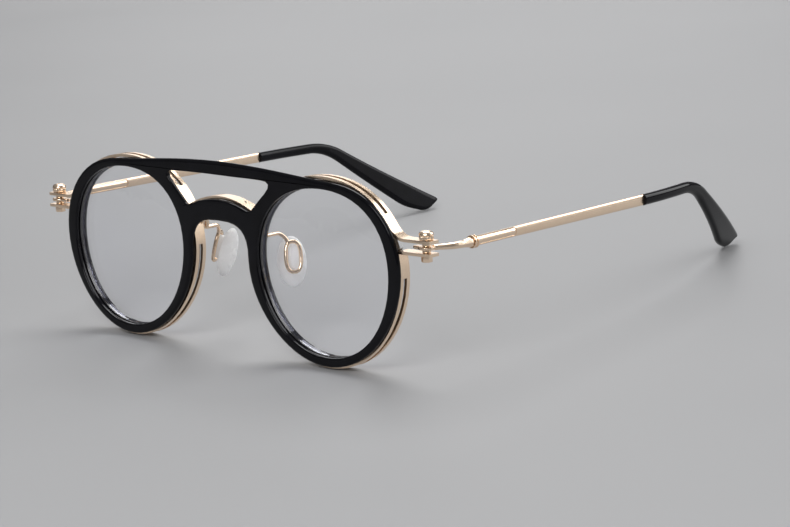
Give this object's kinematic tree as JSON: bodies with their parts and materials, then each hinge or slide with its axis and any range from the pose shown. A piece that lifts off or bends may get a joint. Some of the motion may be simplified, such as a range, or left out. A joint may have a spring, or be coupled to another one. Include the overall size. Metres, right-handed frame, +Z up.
{
  "type": "eyeglasses",
  "caption": "Round eyeglasses: black acetate double-bridge front on slotted champagne titanium rims, exposed screw hinges, slim bar temples and acetate tips.",
  "frame": {"origin": "centre of the bounding box in plan, at the floor on which the opened glasses rest on their rims and temple tips", "axes": "+X towards the wearer's left, +Y back from the front face towards the ears, +Z up"},
  "size_m": [0.1454, 0.15, 0.0502],
  "materials": {
    "black_acetate": "polished black acetate",
    "champagne_titanium": "satin champagne titanium",
    "clear_lens": "clear demo lens",
    "pad_silicone": "translucent silicone"
  },
  "bodies": {
    "front": {"acetate_front": "black_acetate", "bridge_band": "champagne_titanium", "hinge_nut_left": "champagne_titanium", "hinge_nut_right": "champagne_titanium", "hinge_screw_left": "champagne_titanium", "hinge_screw_right": "champagne_titanium", "inner_ring_left": "black_acetate", "inner_ring_right": "black_acetate", "lens_left": "clear_lens", "lens_right": "clear_lens", "lower_washer_left": "champagne_titanium", "lower_washer_right": "champagne_titanium", "nose_pad_left": "pad_silicone", "nose_pad_right": "pad_silicone", "pad_arm_left": "champagne_titanium", "pad_arm_right": "champagne_titanium", "rim_band_left": "champagne_titanium", "rim_band_right": "champagne_titanium", "upper_washer_left": "champagne_titanium", "upper_washer_right": "champagne_titanium"},
    "temple_left": {"hinge_arm_left": "champagne_titanium", "temple_collar_left": "champagne_titanium", "temple_bar_left": "champagne_titanium", "temple_tip_left": "black_acetate"},
    "temple_right": {"hinge_arm_right": "champagne_titanium", "temple_collar_right": "champagne_titanium", "temple_bar_right": "champagne_titanium", "temple_tip_right": "black_acetate"}
  },
  "joints": [
    {"name": "hinge_left", "type": "hinge", "parent": "front", "child": "temple_left", "pos_m": [-0.06691, -0.0684, 0.03336], "axis": [0, -0.0697, -0.9976], "range_deg": [0, 86]},
    {"name": "hinge_right", "type": "hinge", "parent": "front", "child": "temple_right", "pos_m": [0.06691, -0.0684, 0.03336], "axis": [0, 0.0697, 0.9976], "range_deg": [0, 73]}
  ]
}
